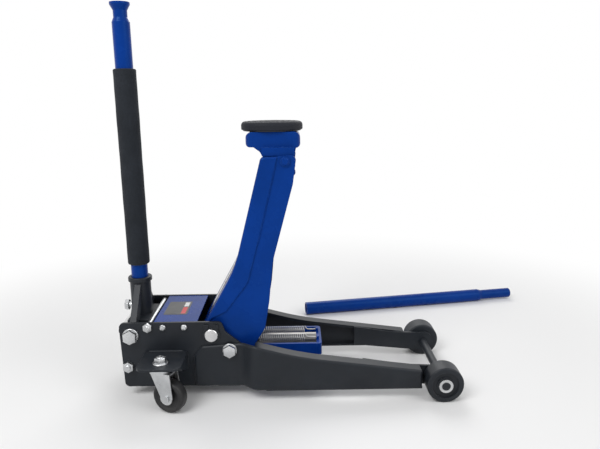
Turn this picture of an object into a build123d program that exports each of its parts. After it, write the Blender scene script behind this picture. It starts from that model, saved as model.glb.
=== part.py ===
# Low hydraulic trolley jack with its arm raised, in millimetres.
# +X is forward, +Y is left, +Z is up. The origin is on the floor under the front axle.
import os
from math import cos, pi, radians, sin, sqrt

from build123d import *

os.makedirs("parts", exist_ok=True)

# Fits
running_fit = 0.05
face_gap = 0.3

# Wheels and axle
wheel_r = 34.5
wheel_w = 38
wheel_out = 122
axle_r = 8
axle_z = wheel_r

# Casters
caster_x = -523
caster_y = 127.5
caster_r = 31
caster_w = 22
caster_trail = 16.5
caster_turn = {"left": -10, "right": -20}
stud_r = 6

# Frame plates and rails
plate_in = 74
plate_t = 5
plate_out = plate_in + plate_t
plate_top = 150
frame_bottom = 21
rail_t = 5
rail_out = 106
rail_tab_rear = -470
rail_bend = -380
rail_bend_r = 24
rail_step = 24
rail_front = -40
rail_top_rear = 110
rail_waist = (-270, 87)
rail_waist_r = 600
rail_fold_r = 4.5
rail_top_front = 57
flange_in = 80

# Main pivot and lift arm
pin_x = -436
pin_z = 124
pin_r = 12.5
arm_len = 354.6
arm_up = 66.0
arm_down = -14.0
arm_side_in = 61
arm_side_t = 5
arm_side_out = arm_side_in + arm_side_t
arm_top_t = 5
arm_skirt_t = 2.5
arm_half = arm_side_out + arm_skirt_t
arm_top_end = arm_len - 100
arm_fold = 8.5
end_pin_r = 6.5

# Lug pins that the ram pushes, and the leveling linkage
lug_arm = 50
lug_r = 8
lug_dir = -90 - (arm_up + arm_down) / 2
link_len = 24
link_dir = -60
link_pin_r = 4
link_eye_r = 6.5
link_half = 4.5
link_in = 47
link_t = 5

# Yoke and ram
rail_in = 38
rail_thick = 6
yoke_front = -226
crosshead_t = 10
ram_z = 80
ram_r = 12
bore_r = 15
piston_t = 12
cylinder_front = -440

# Handle socket and pump, placed behind the main pivot
pump_reach = 152
socket_pivot_x = pin_x - pump_reach
plate_rear = socket_pivot_x - 21
socket_pivot_z = 124.4
pivot_bolt_r = 7
pivot_washer_r = 15
pivot_head = 24
socket_x = socket_pivot_x + 4
socket_r = 20
socket_bore = 16.5
socket_top = 218
roller_arm = 21
roller_dir = 190
roller_r = 12
roller_half = 32
pump_stroke = 50
lug_plate_in = 34
lug_plate_out = 45
pump_y = 18
cup_r = 15.5
plunger_r = 6
barrel_r = 10
spring_run = 36

# Tie rods and cover
lower_tie = (socket_pivot_x - 8, 62.4)
lower_tie_r = 6
upper_tie = (socket_pivot_x + 33, 141)
upper_tie_r = 5
cover_rear = socket_pivot_x + 43
cover_front = pin_x - 27
cover_t = 3
cover_screws_x = (cover_rear + 18, cover_front - 24)
screw_z = 140
screw_r = 3
rail_bolt = (-402, 95)
rail_bolt_r = 7

# Saddle over the arm's end pin, a little behind it
saddle_r = 57.5
saddle_back = 24.5
head_rear = -72
head_front = 28
head_low = 24
head_half = 48
bracket_top = 51
dish_t = 5
pad_top = 68.6
stem_r = 15
stem_deep = 24

# Handle tubes
tube_r = 16
handle_len = 580
grip_start = 95
grip_len = 370
grip_r = 21
extension_len = 580
spigot_len = 85
spigot_r = 12.8
extension_at = (-250, 335)
extension_turn = 10

# Springs
coil_wire = 2.2
coil_r = 5.9
coil_turns = 22
coil_pitch = 4.2
coil_y = 20
coil_z = 91
coil_front = -258
pump_wire = 3.0
pump_coil_r = 13
pump_turns = 5

# Worked-out places
arm_vec = (cos(radians(arm_up)), sin(radians(arm_up)))
end_x = pin_x + arm_len * arm_vec[0]
end_z = pin_z + arm_len * arm_vec[1]
saddle_x = end_x - saddle_back
lug_x = pin_x + lug_arm * cos(radians(arm_up + lug_dir))
lug_z = pin_z + lug_arm * sin(radians(arm_up + lug_dir))
lug_low_z = pin_z - lug_arm
link_v = (link_len * cos(radians(link_dir)), link_len * sin(radians(link_dir)))
roller_x = socket_pivot_x + roller_arm * cos(radians(roller_dir))
roller_z = socket_pivot_z + roller_arm * sin(radians(roller_dir))
pump_dir = radians(roller_dir + pump_stroke / 2 + 90)
pump_vec = (cos(pump_dir), sin(pump_dir))
base_z = socket_pivot_z + 10
base_t = 8
handle_z = base_z + base_t + face_gap + 6.3
sides = (("left", 1), ("right", -1))


def side_plane(y):
    """Sketch plane across the jack at y, with local x forward and local y up."""
    return Plane.XZ.offset(-y)


def arm_plane(y):
    """Sketch plane of the raised arm at y, with local x from the main pin to the end pin."""
    return Plane((pin_x, y, pin_z), x_dir=(arm_vec[0], 0, arm_vec[1]), z_dir=(0, -1, 0))


def rod(x, z, radius, y0, y1, mode=Mode.ADD):
    """Round bar or bore across the jack from y0 to y1."""
    with Locations(Location((x, (y0 + y1) / 2, z), (90, 0, 0))):
        Cylinder(radius, abs(y1 - y0), mode=mode)


def bar_x(y, z, radius, x0, x1, mode=Mode.ADD):
    """Round bar or bore along the jack from x0 to x1."""
    with Locations(Location(((x0 + x1) / 2, y, z), (0, 90, 0))):
        Cylinder(radius, abs(x1 - x0), mode=mode)


def post(x, y, radius, z0, z1, mode=Mode.ADD):
    """Round upright bar or bore from z0 to z1."""
    with Locations((x, y, (z0 + z1) / 2)):
        Cylinder(radius, z1 - z0, mode=mode)


def block(x0, x1, y0, y1, z0, z1, mode=Mode.ADD):
    """Box between two corners."""
    with Locations(((x0 + x1) / 2, (y0 + y1) / 2, (z0 + z1) / 2)):
        Box(abs(x1 - x0), abs(y1 - y0), abs(z1 - z0), mode=mode)


def hex_across(x, z, across_flats, y0, y1):
    """Hexagon head or nut whose axis runs across the jack."""
    with BuildSketch(side_plane(y0)) as outline:
        with Locations((x, z)):
            RegularPolygon(across_flats / 2, 6, major_radius=False)
    extrude(outline.sketch, amount=y0 - y1)


def hex_up(x, y, across_flats, z0, z1):
    """Hexagon head or nut with an upright axis."""
    with BuildSketch(Plane.XY.offset(z0)) as outline:
        with Locations((x, y)):
            RegularPolygon(across_flats / 2, 6, major_radius=False)
    extrude(outline.sketch, amount=z1 - z0)


def round_corner(sketch, point, radius):
    """Round the sketch corner nearest to a point."""
    fillet(sketch.vertices().sort_by_distance(point)[0], radius)


def pump_point(run, y):
    """Point on a plunger's axis, run along its stroke from the cup's top face at rest."""
    offset = roller_arm * cos(radians(pump_stroke / 4))
    top = roller_arm * -sin(radians(pump_stroke / 2)) + roller_r + face_gap
    x = socket_pivot_x + offset * pump_vec[1] + (top + run) * pump_vec[0]
    z = socket_pivot_z - offset * pump_vec[0] + (top + run) * pump_vec[1]
    return (x, y, z)


def pump_plane(run, y):
    """Sketch plane square to a plunger's axis."""
    return Plane(pump_point(run, y), x_dir=(0, 1, 0), z_dir=(pump_vec[0], 0, pump_vec[1]))


def biarc(p0, t0, p1, t1):
    """Joint of the two arcs from p0 along t0 to p1 along t1, and the tangent there."""
    v = p1 - p0
    a = 2 * (1 - t0.dot(t1))
    b = 2 * v.dot(t0 + t1)
    c = -v.dot(v)
    reach = -c / b if abs(a) < 1e-9 else (sqrt(b * b - 4 * a * c) - b) / (2 * a)
    q0 = p0 + t0 * reach
    q1 = p1 - t1 * reach
    return (q0 + q1) * 0.5, (q1 - q0).normalized()


def coil_nodes(origin, along, up, radius, pitch, turns):
    """Points and tangents of a helix, at every half turn."""
    across = along.cross(up)
    nodes = []
    for half in range(2 * turns + 1):
        angle = pi * half
        out = up * cos(angle) + across * sin(angle)
        turn = across * cos(angle) - up * sin(angle)
        point = origin + along * (pitch * half / 2) + out * radius
        nodes.append((point, (turn * 2 * pi * radius + along * pitch).normalized()))
    return nodes


def least_gap(wire, wire_d, skip):
    """Least gap between parts of a bent wire that are more than skip apart along it."""
    step = 1.5
    steps = int(wire.length / step)
    points = [wire @ (i / steps) for i in range(steps + 1)]
    apart = int(skip / step)
    gaps = [(p - q).length for i, p in enumerate(points) for q in points[i + apart:]]
    return min(gaps) - wire_d


def save(builder, label):
    """Name a sub-part and write its STEP file."""
    builder.part.label = label
    export_step(builder.part, f"parts/{label}.step")


# Side plates, flat steel at the rear that carry every pivot
for side, s in sides:
    with BuildPart() as side_plate:
        with BuildSketch(side_plane(s * plate_in)) as outline:
            Polygon(
                (plate_rear, plate_top),
                (plate_rear + 4, frame_bottom),
                (rail_bend + 6, frame_bottom),
                (rail_bend + 6, 100),
                (pin_x + 26, 130),
                (pin_x + 19, plate_top),
                align=None,
            )
            fillet(outline.vertices(), 9)
        extrude(amount=-s * plate_t)
        far = s * (plate_out + 1)
        near = s * (plate_in - 1)
        rod(pin_x, pin_z, pin_r + running_fit, near, far, Mode.SUBTRACT)
        rod(socket_pivot_x, socket_pivot_z, pivot_bolt_r + running_fit, near, far, Mode.SUBTRACT)
        rod(*lower_tie, lower_tie_r + running_fit, near, far, Mode.SUBTRACT)
        rod(*upper_tie, upper_tie_r + running_fit, near, far, Mode.SUBTRACT)
        rod(*rail_bolt, rail_bolt_r + running_fit, near, far, Mode.SUBTRACT)
        for x in cover_screws_x:
            rod(x, screw_z, screw_r + running_fit, near, far, Mode.SUBTRACT)
    save(side_plate, f"side_plate_{side}")

# Side rails, pressed outward from the plates with a sloping top flange and an axle lug
flange_rear = rail_bend + rail_step + 2
for side, s in sides:
    with BuildPart() as side_rail:
        with BuildSketch(Plane.XY) as plan:
            Polygon(
                (rail_tab_rear, s * (plate_out + rail_t)),
                (rail_bend, s * (plate_out + rail_t)),
                (rail_bend + rail_step, s * rail_out),
                (rail_front, s * rail_out),
                (rail_front, s * (rail_out - rail_t)),
                (rail_bend + rail_step + 2, s * (rail_out - rail_t)),
                (rail_bend + 2, s * plate_out),
                (rail_tab_rear, s * plate_out),
                align=None,
            )
            round_corner(plan, (rail_bend, s * (plate_out + rail_t)), rail_bend_r)
            round_corner(plan, (rail_bend + rail_step, s * rail_out), rail_bend_r + rail_t)
            round_corner(plan, (rail_bend + rail_step + 2, s * (rail_out - rail_t)), rail_bend_r)
            round_corner(plan, (rail_bend + 2, s * plate_out), rail_bend_r + rail_t)
        extrude(amount=plate_top)
        with BuildSketch(side_plane(rail_out + 1)) as outline:
            Polygon(
                (rail_tab_rear, frame_bottom),
                (rail_tab_rear, 84),
                (rail_tab_rear + 16, 103),
                (flange_rear, rail_top_rear),
                rail_waist,
                (rail_front, rail_top_front),
                (rail_front, frame_bottom),
                align=None,
            )
            round_corner(outline, rail_waist, rail_waist_r)
            round_corner(outline, (rail_front, rail_top_front), 5)
            round_corner(outline, (rail_front, frame_bottom), 5)
            round_corner(outline, (rail_tab_rear, frame_bottom), 5)
            round_corner(outline, (rail_tab_rear, 84), 5)
            round_corner(outline, (rail_tab_rear + 16, 103), 5)
            round_corner(outline, (flange_rear, rail_top_rear), 5)
        extrude(amount=2 * rail_out + 2, mode=Mode.INTERSECT)
        folds = []
        for edge in side_rail.edges():
            middle = edge @ 0.5
            on_face = abs(abs(middle.Y) - rail_out) < 0.05
            if on_face and middle.Z > rail_top_front - 6 and flange_rear + 8 < middle.X < rail_front - 6:
                folds.append(edge)
        fillet(folds, rail_fold_r)
        with BuildSketch(side_plane(s * flange_in)) as outline:
            Polygon(
                (flange_rear, rail_top_rear),
                rail_waist,
                (rail_front, rail_top_front),
                (rail_front, frame_bottom + 2),
                (rail_front - rail_t, frame_bottom + 2),
                (rail_front - rail_t, rail_top_front - rail_t),
                (rail_waist[0], rail_waist[1] - rail_t),
                (flange_rear, rail_top_rear - rail_t),
                align=None,
            )
            round_corner(outline, rail_waist, rail_waist_r)
            round_corner(outline, (rail_front, rail_top_front), 5)
            round_corner(outline, (flange_rear, rail_top_rear), 3)
        extrude(amount=-s * (rail_out - rail_fold_r - flange_in))
        block(flange_rear + 20, rail_front, s * 90, s * (rail_out - 1), frame_bottom, frame_bottom + 4)
        with BuildSketch(side_plane(s * (flange_in - 4))) as outline:
            with Locations((0, axle_z)):
                Circle(22)
            Polygon((-150, 30), (-150, 71), (-70, 58), (0, axle_z + 20), (0, axle_z - 20), align=None)
        extrude(amount=-s * 5)
        rod(0, axle_z, axle_r + running_fit, s * (flange_in - 6), s * (flange_in + 3), Mode.SUBTRACT)
        rod(*rail_bolt, rail_bolt_r + running_fit, s * plate_in, s * 90, Mode.SUBTRACT)
    save(side_rail, f"side_rail_{side}")

# Front axle and the retaining rings at its ends
with BuildPart() as front_axle:
    rod(0, axle_z, axle_r, -wheel_out - 4, wheel_out + 4)
    chamfer(front_axle.edges().filter_by(GeomType.CIRCLE), 1)
save(front_axle, "front_axle")

with BuildPart() as axle_retainers:
    for side, s in sides:
        rod(0, axle_z, 13, s * (wheel_out + 0.4), s * (wheel_out + 2.6))
    rod(0, axle_z, axle_r, -wheel_out - 5, wheel_out + 5, Mode.SUBTRACT)
save(axle_retainers, "axle_retainers")

# Front wheels, cast with a dished outer face and an inner hub boss
for side, s in sides:
    with BuildPart() as front_wheel:
        rod(0, axle_z, wheel_r, s * (wheel_out - wheel_w), s * wheel_out)
        fillet(front_wheel.edges().filter_by(GeomType.CIRCLE), 3.5)
        rod(0, axle_z, 15, s * (flange_in + 1.4), s * (wheel_out - wheel_w + 1))
        rod(0, axle_z, 25, s * (wheel_out - 4), s * (wheel_out + 1), Mode.SUBTRACT)
        rod(0, axle_z, 15, s * (wheel_out - 5), s * wheel_out)
        rod(0, axle_z, axle_r + running_fit, s * flange_in, s * (wheel_out + 1), Mode.SUBTRACT)
    save(front_wheel, f"front_wheel_{side}")

# Caster brackets, channels that stand out from the side plates
bracket_z = 88
bracket_t = 4
bracket_half = 40
bracket_out = 155
for side, s in sides:
    with BuildPart() as caster_bracket:
        with BuildSketch(Plane.XY.offset(bracket_z)) as outline:
            Polygon(
                (caster_x - bracket_half, s * plate_out),
                (caster_x + bracket_half, s * plate_out),
                (caster_x + bracket_half, s * bracket_out),
                (caster_x - bracket_half, s * bracket_out),
                align=None,
            )
            fillet(outline.vertices().group_by(Axis.Y)[-1 if s > 0 else 0], 14)
        extrude(amount=bracket_t)
        for end in (-1, 1):
            with BuildSketch(Plane.YZ.offset(caster_x + end * (bracket_half - bracket_t))):
                Polygon(
                    (s * plate_out, bracket_z + 1),
                    (s * (bracket_out - 15), bracket_z + 1),
                    (s * (bracket_out - 15), bracket_z - 6),
                    (s * plate_out, bracket_z - 32),
                    align=None,
                )
            extrude(amount=end * bracket_t)
        post(caster_x, s * caster_y, stud_r + running_fit, bracket_z - 1, bracket_z + 5, Mode.SUBTRACT)
    save(caster_bracket, f"caster_bracket_{side}")

# Caster studs with their nuts on top and a head below that holds the fork
fork_top = bracket_z - face_gap
fork_web = 76
with BuildPart() as caster_studs:
    for side, s in sides:
        post(caster_x, s * caster_y, stud_r, fork_web - 4.3, bracket_z + 17)
        post(caster_x, s * caster_y, 10, fork_web - 4.3, fork_web - face_gap)
        post(caster_x, s * caster_y, 14, bracket_z + bracket_t, bracket_z + bracket_t + 2)
        hex_up(caster_x, s * caster_y, 19, bracket_z + bracket_t + 2, bracket_z + bracket_t + 11)
save(caster_studs, "caster_studs")

# Caster forks, axles and wheels, each turned a little about its stud
for side, s in sides:
    turn = radians(caster_turn[side])
    ahead = Vector(cos(turn), sin(turn), 0)
    left = Vector(-sin(turn), cos(turn), 0)
    stud = Vector(caster_x, s * caster_y, 0)
    hub = stud + ahead * caster_trail + Vector(0, 0, caster_r)
    fork_half = caster_w / 2 + 1.5
    leg_t = 2.5
    with BuildPart() as caster_fork:
        post(stud.X, stud.Y, 20, fork_web, fork_top)
        fillet(caster_fork.edges().filter_by(GeomType.CIRCLE).group_by(Axis.Z)[-1], 3)
        with BuildSketch(Plane(stud + Vector(0, 0, fork_web), x_dir=ahead, z_dir=(0, 0, 1))):
            with Locations((6, 0)):
                Rectangle(40, 2 * (fork_half + leg_t))
        extrude(amount=3)
        for leg in (-1, 1):
            with BuildSketch(Plane(stud + left * (leg * fork_half), x_dir=ahead, z_dir=left)) as outline:
                Polygon((-14, -fork_web - 3), (26, -fork_web - 3), (30, -caster_r), (6, -caster_r), align=None)
                with Locations((caster_trail, -caster_r)):
                    Circle(12)
            extrude(amount=leg * leg_t)
        post(stud.X, stud.Y, stud_r + running_fit, fork_web - 1, fork_top + 1, Mode.SUBTRACT)
        with BuildSketch(Plane(hub - left * 20, x_dir=ahead, z_dir=left)):
            Circle(4)
        extrude(amount=40, mode=Mode.SUBTRACT)
    save(caster_fork, f"caster_fork_{side}")

    with BuildPart() as caster_axle:
        with BuildSketch(Plane(hub - left * (fork_half + leg_t), x_dir=ahead, z_dir=left)):
            Circle(4)
        extrude(amount=2 * (fork_half + leg_t))
        for end in (-1, 1):
            with BuildSketch(Plane(hub + left * (end * (fork_half + leg_t)), x_dir=ahead, z_dir=left)):
                Circle(6.5)
            extrude(amount=end * 2.5)
    save(caster_axle, f"caster_axle_{side}")

    with BuildPart() as caster_wheel:
        with BuildSketch(Plane(hub - left * (caster_w / 2), x_dir=ahead, z_dir=left)):
            Circle(caster_r)
        extrude(amount=caster_w)
        fillet(caster_wheel.edges().filter_by(GeomType.CIRCLE), 4)
        with BuildSketch(Plane(hub - left * 20, x_dir=ahead, z_dir=left)):
            Circle(4 + running_fit)
        extrude(amount=40, mode=Mode.SUBTRACT)
    save(caster_wheel, f"caster_wheel_{side}")

# Tie rods between the plates, and the nuts on their ends
with BuildPart() as lower_tie_rod:
    rod(*lower_tie, lower_tie_r, -plate_out - 9, plate_out + 9)
save(lower_tie_rod, "lower_tie_rod")

with BuildPart() as upper_tie_rod:
    rod(*upper_tie, upper_tie_r, -plate_out - 7, plate_out + 7)
save(upper_tie_rod, "upper_tie_rod")

with BuildPart() as tie_rod_nuts:
    for side, s in sides:
        hex_across(*lower_tie, 19, s * plate_out, s * (plate_out + 7))
        hex_across(*upper_tie, 16, s * plate_out, s * (plate_out + 5.5))
    rod(*lower_tie, lower_tie_r, -plate_out - 9, plate_out + 9, Mode.SUBTRACT)
    rod(*upper_tie, upper_tie_r, -plate_out - 9, plate_out + 9, Mode.SUBTRACT)
save(tie_rod_nuts, "tie_rod_nuts")

# Bolts that hold the rails to the plates
with BuildPart() as rail_bolts:
    for side, s in sides:
        rod(*rail_bolt, rail_bolt_r, s * (plate_in - 6), s * (plate_out + rail_t + 8))
        rod(*rail_bolt, 13.5, s * (plate_out + rail_t), s * (plate_out + rail_t + 2))
        hex_across(*rail_bolt, 22, s * (plate_out + rail_t + 2), s * (plate_out + rail_t + 10))
save(rail_bolts, "rail_bolts")

# Main pivot pin through both plates and the arm, and its clips
with BuildPart() as main_pivot_pin:
    rod(pin_x, pin_z, pin_r, -plate_out - 6, plate_out + 6)
    chamfer(main_pivot_pin.edges().filter_by(GeomType.CIRCLE), 1.2)
save(main_pivot_pin, "main_pivot_pin")

with BuildPart() as pivot_pin_clips:
    for side, s in sides:
        rod(pin_x, pin_z, pin_r + 4, s * (plate_out + 0.4), s * (plate_out + 2.4))
        block(pin_x - 14, pin_x + 14, s * (plate_out + 0.4), s * (plate_out + 2.4), pin_z + 12, pin_z + 21)
    rod(pin_x, pin_z, pin_r, -plate_out - 9, plate_out + 9, Mode.SUBTRACT)
    block(pin_x - 5, pin_x + 5, -plate_out - 9, plate_out + 9, pin_z + 8, pin_z + 30, Mode.SUBTRACT)
save(pivot_pin_clips, "pivot_pin_clips")

# Cover plate between the plates, on two tapped bars that the side screws hold
cover_top = plate_top - 1
bar_top = cover_top - cover_t
with BuildPart() as cover_plate:
    block(cover_rear, cover_front, -plate_in, plate_in, bar_top, cover_top)
save(cover_plate, "cover_plate")

with BuildPart() as cover_bars:
    for side, s in sides:
        block(cover_rear + 6, cover_front - 13, s * (plate_in - 10), s * plate_in, bar_top - 10, bar_top)
        for x in cover_screws_x:
            rod(x, screw_z, screw_r, s * (plate_in - 8), s * plate_in, Mode.SUBTRACT)
save(cover_bars, "cover_bars")

with BuildPart() as cover_screws:
    for side, s in sides:
        for x in cover_screws_x:
            rod(x, screw_z, screw_r, s * (plate_in - 8), s * plate_out)
            rod(x, screw_z, 6, s * plate_out, s * (plate_out + 3.2))
            hex_across(x, screw_z, 8, s * (plate_out + 3), s * (plate_out + 5))
save(cover_screws, "cover_screws")

# Pump block, cast between the plates with two inclined pump bosses and the ram's bore
block_rear = socket_pivot_x + 26
block_front = block_rear + 70
valve_x = block_rear + 10
filler_x = block_front - 20
block_top = 112
with BuildPart() as pump_block:
    block(block_rear, block_front, -58, 58, 34, block_top)
    fillet(pump_block.edges().filter_by(Axis.X), 8)
    block(block_rear + 10, block_front - 10, -plate_in, plate_in, 44, 84)
    for y in (-pump_y, pump_y):
        with BuildSketch(pump_plane(5 + spring_run, y)):
            Circle(14)
        extrude(amount=34)
    for y in (-pump_y, pump_y):
        with BuildSketch(pump_plane(5 + spring_run - 1, y)):
            Circle(barrel_r)
        extrude(amount=30, mode=Mode.SUBTRACT)
    bar_x(0, ram_z, bore_r + running_fit, block_rear + 17, block_front + 1, Mode.SUBTRACT)
    post(valve_x, 0, 5 + running_fit, block_top - 24, block_top + 1, Mode.SUBTRACT)
    post(filler_x, 0, 6, block_top - 8, block_top + 1, Mode.SUBTRACT)
save(pump_block, "pump_block")

# Reservoir tube and cylinder head around the ram
tube_front = cylinder_front - 15
with BuildPart() as reservoir_tube:
    bar_x(0, ram_z, 26, block_front, tube_front)
    bar_x(0, ram_z, bore_r + running_fit, block_front - 1, tube_front + 1, Mode.SUBTRACT)
save(reservoir_tube, "reservoir_tube")

with BuildPart() as cylinder_head:
    bar_x(0, ram_z, 28, tube_front, cylinder_front)
    chamfer(cylinder_head.edges().filter_by(GeomType.CIRCLE), 2)
    for y in (-coil_y, coil_y):
        block(cylinder_front - 2, cylinder_front + 4, y - 6, y + 6, coil_z - 8, coil_z + 6)
    bar_x(0, ram_z, ram_r + running_fit, tube_front - 1, cylinder_front + 9, Mode.SUBTRACT)
save(cylinder_head, "cylinder_head")

with BuildPart() as oil_filler_plug:
    post(filler_x, 0, 6, block_top - 8, block_top)
    post(filler_x, 0, 9, block_top, block_top + 4)
    fillet(oil_filler_plug.edges().group_by(Axis.Z)[-1], 1.5)
save(oil_filler_plug, "oil_filler_plug")

# Release valve spindle on the block, turned with the handle
with BuildPart() as release_valve:
    post(valve_x, 0, 5, block_top - 22, block_top + face_gap)
    post(valve_x, 0, 8, block_top + face_gap, block_top + 8)
    block(valve_x - 7, valve_x + 7, -2.5, 2.5, block_top + 8, block_top + 13)
save(release_valve, "release_valve")

# Pump barrels, plungers with their spring cups, and the plunger springs
with BuildPart() as pump_barrels:
    for y in (-pump_y, pump_y):
        with BuildSketch(pump_plane(24, y)):
            Circle(barrel_r)
            Circle(plunger_r + running_fit, mode=Mode.SUBTRACT)
        extrude(amount=5 + spring_run - 1 + 30 - 24)
save(pump_barrels, "pump_barrels")

with BuildPart() as pump_plungers:
    for y in (-pump_y, pump_y):
        with BuildSketch(pump_plane(0, y)):
            Circle(cup_r)
        extrude(amount=4.5)
        with BuildSketch(pump_plane(0, y)):
            Circle(cup_r - 3)
        extrude(amount=1.2, mode=Mode.SUBTRACT)
        with BuildSketch(pump_plane(1, y)):
            Circle(plunger_r)
        extrude(amount=48)
save(pump_plungers, "pump_plungers")

pump_along = Vector(pump_vec[0], 0, pump_vec[1])
pump_lead = 3.5
pump_pitch = (spring_run - 1 - 2 * pump_lead - 2 * pump_wire) / pump_turns
for side, s in sides:
    first = Vector(pump_point(5 + pump_wire + pump_lead, s * pump_y))
    nodes = coil_nodes(first, pump_along, Vector(0, 1, 0), pump_coil_r, pump_pitch, pump_turns)
    start = nodes[0][0] - pump_along * pump_lead + nodes[0][1] * -4
    finish = nodes[-1][0] + pump_along * pump_lead + nodes[-1][1] * 4
    nodes = [(start, pump_along)] + nodes + [(finish, pump_along)]
    with BuildPart() as plunger_spring:
        with BuildLine() as path:
            Line(start - pump_along * pump_wire, start)
            for (p0, t0), (p1, t1) in zip(nodes, nodes[1:]):
                joint, tangent = biarc(p0, t0, p1, t1)
                TangentArc(p0, joint, tangent=t0)
                TangentArc(joint, p1, tangent=tangent)
            Line(finish, finish + pump_along * pump_wire)
        with BuildSketch(Plane(path.wires()[0] @ 0, z_dir=path.wires()[0] % 0)):
            Circle(pump_wire / 2)
        sweep()
        gap = least_gap(path.wires()[0], pump_wire, 2 * pump_coil_r)
    print(f"plunger spring {side}: least gap to itself {gap:.2f} mm")
    save(plunger_spring, f"plunger_spring_{side}")

# Return springs that pull the yoke back, with long straight hooks to the cylinder head
coil_along = Vector(1, 0, 0)
shank_rear = cylinder_front + 4 + face_gap
shank_front = yoke_front - crosshead_t - face_gap
coil_rear = coil_front - coil_turns * coil_pitch
for side, s in sides:
    axis_start = Vector(coil_rear, s * coil_y, coil_z)
    nodes = coil_nodes(axis_start, coil_along, Vector(0, 0, 1), coil_r, coil_pitch, coil_turns)
    enter = Vector(coil_rear - 8, s * coil_y, coil_z)
    leave = Vector(coil_front + 8, s * coil_y, coil_z)
    nodes = [(enter, coil_along)] + nodes + [(leave, coil_along)]
    with BuildPart() as return_spring:
        with BuildLine() as path:
            Line((shank_rear, s * coil_y, coil_z), enter)
            for (p0, t0), (p1, t1) in zip(nodes, nodes[1:]):
                joint, tangent = biarc(p0, t0, p1, t1)
                TangentArc(p0, joint, tangent=t0)
                TangentArc(joint, p1, tangent=tangent)
            Line(leave, (shank_front, s * coil_y, coil_z))
        with BuildSketch(Plane(path.wires()[0] @ 0, z_dir=path.wires()[0] % 0)):
            Circle(coil_wire / 2)
        sweep()
        gap = least_gap(path.wires()[0], coil_wire, 2 * coil_r)
    print(f"return spring {side}: least gap to itself {gap:.2f} mm")
    save(return_spring, f"return_spring_{side}")

# Ram, piston inside the cylinder
with BuildPart() as ram_piston:
    piston_front = cylinder_front - 23
    bar_x(0, ram_z, ram_r, piston_front - piston_t / 2, yoke_front - crosshead_t)
    bar_x(0, ram_z, bore_r, piston_front - piston_t, piston_front)
save(ram_piston, "ram_piston")

# Yoke rails, slotted for the arm's lug pins, and the crosshead that the ram pushes
slip = lug_arm * 0.025
slot_half = lug_r + slip + face_gap
for side, s in sides:
    with BuildPart() as yoke_rail:
        with BuildSketch(side_plane(s * rail_in)) as outline:
            Polygon(
                (lug_x - slot_half - 8, lug_low_z - 17),
                (lug_x - slot_half - 8, lug_z + 15),
                (lug_x + slot_half + 6, lug_z + 15),
                (lug_x + slot_half + 26, ram_z + 8),
                (yoke_front - crosshead_t, ram_z + 8),
                (yoke_front - crosshead_t, ram_z - 16),
                (lug_x + slot_half + 26, ram_z - 16),
                (lug_x + slot_half + 6, lug_low_z - 17),
                align=None,
            )
            fillet(outline.vertices().group_by(Axis.X)[0], 6)
        extrude(amount=-s * rail_thick)
        with BuildSketch(side_plane(s * (rail_in - 1))) as outline:
            with Locations((lug_x, (lug_low_z + lug_z) / 2)):
                Rectangle(2 * slot_half, lug_z - lug_low_z + 2 * (lug_r + face_gap + 0.2))
        extrude(amount=-s * (rail_thick + 2), mode=Mode.SUBTRACT)
    save(yoke_rail, f"yoke_rail_{side}")

yoke_out = rail_in + rail_thick
with BuildPart() as yoke_crosshead:
    block(yoke_front - crosshead_t, yoke_front, -yoke_out, yoke_out, ram_z - 16, ram_z + 8)
    fillet(yoke_crosshead.edges().filter_by(Axis.Z).group_by(Axis.X)[-1], 7)
    for y in (-coil_y, coil_y):
        block(yoke_front - crosshead_t, yoke_front - crosshead_t + 5, y - 6, y + 6, ram_z + 6, coil_z + 4)
save(yoke_crosshead, "yoke_crosshead")

# Lift arm, two cranked side plates under a folded top channel
arm_rear = (-16, 22.5)
knee = (135, 8.5)
arm_tip_top = (arm_len - 10, 43.5)
arm_tip_low = (arm_len + 19.5, -14)
fall = (arm_rear[1] - knee[1]) / (knee[0] - arm_rear[0])
rise = (arm_tip_top[1] - knee[1]) / (arm_tip_top[0] - knee[0])
for side, s in sides:
    with BuildPart() as arm_side:
        with BuildSketch(arm_plane(s * arm_side_in)) as outline:
            Polygon(
                (arm_rear[0], arm_rear[1] - arm_top_t),
                (knee[0], knee[1] - arm_top_t),
                (arm_tip_top[0], arm_tip_top[1] - arm_top_t),
                arm_tip_low,
                (arm_len - 32, -29),
                (173, -52),
                (100, -76),
                (48, -89),
                (-8, -82),
                (-44, -54),
                (-47, -36),
                align=None,
            )
            round_corner(outline, (knee[0], knee[1] - arm_top_t), 250)
            round_corner(outline, (173, -52), 150)
            round_corner(outline, (100, -76), 100)
            round_corner(outline, (arm_tip_top[0], arm_tip_top[1] - arm_top_t), 9)
            round_corner(outline, arm_tip_low, 9)
            round_corner(outline, (48, -89), 25)
            round_corner(outline, (-8, -82), 25)
            round_corner(outline, (-44, -54), 10)
            round_corner(outline, (-47, -36), 8)
        extrude(amount=-s * arm_side_t)
        rod(pin_x, pin_z, pin_r + running_fit, s * (arm_side_in - 1), s * arm_half, Mode.SUBTRACT)
        rod(end_x, end_z, end_pin_r, s * (arm_side_in - 1), s * arm_half, Mode.SUBTRACT)
        rod(lug_x, lug_z, lug_r, s * (arm_side_in - 1), s * arm_half, Mode.SUBTRACT)
    save(arm_side, f"arm_side_{side}")

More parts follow.
